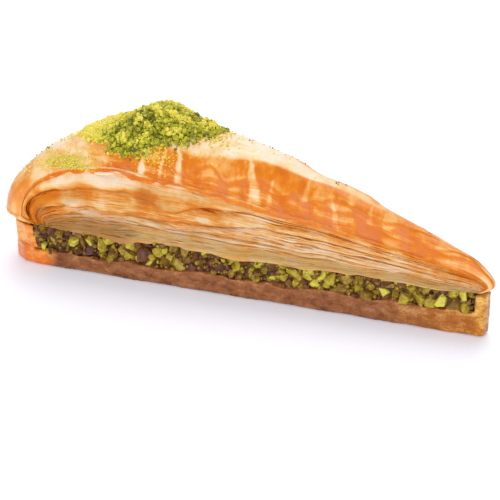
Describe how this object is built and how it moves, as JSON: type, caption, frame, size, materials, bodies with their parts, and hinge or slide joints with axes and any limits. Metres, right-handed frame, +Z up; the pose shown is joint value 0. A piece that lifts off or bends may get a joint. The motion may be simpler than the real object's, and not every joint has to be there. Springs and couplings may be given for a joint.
{
  "type": "pistachio baklava slice",
  "caption": "Long wedge of flaky layered pastry with a chopped pistachio filling and ground pistachio heaped on its wide end.",
  "frame": {"origin": "on the flat underside, below the centre of the slice's box", "axes": "+Z up, +X along the slice towards its narrow tip, -Y out of the cut face that the picture shows"},
  "size_m": [0.1618, 0.0588, 0.0518],
  "materials": {
    "base_pastry": "dense syrup-soaked pastry, amber brown, moist sheen",
    "pistachio_filling": "chopped pistachio, yellow green with olive and purple-brown skins, moist",
    "upper_pastry": "baked leaves, cream to golden orange, glossy syrup on the crust",
    "ground_pistachio": "dry ground pistachio, bright yellow green"
  },
  "bodies": {
    "root": {"base_pastry": "base_pastry", "pistachio_filling": "pistachio_filling", "upper_pastry": "upper_pastry", "ground_pistachio": "ground_pistachio"}
  },
  "joints": []
}
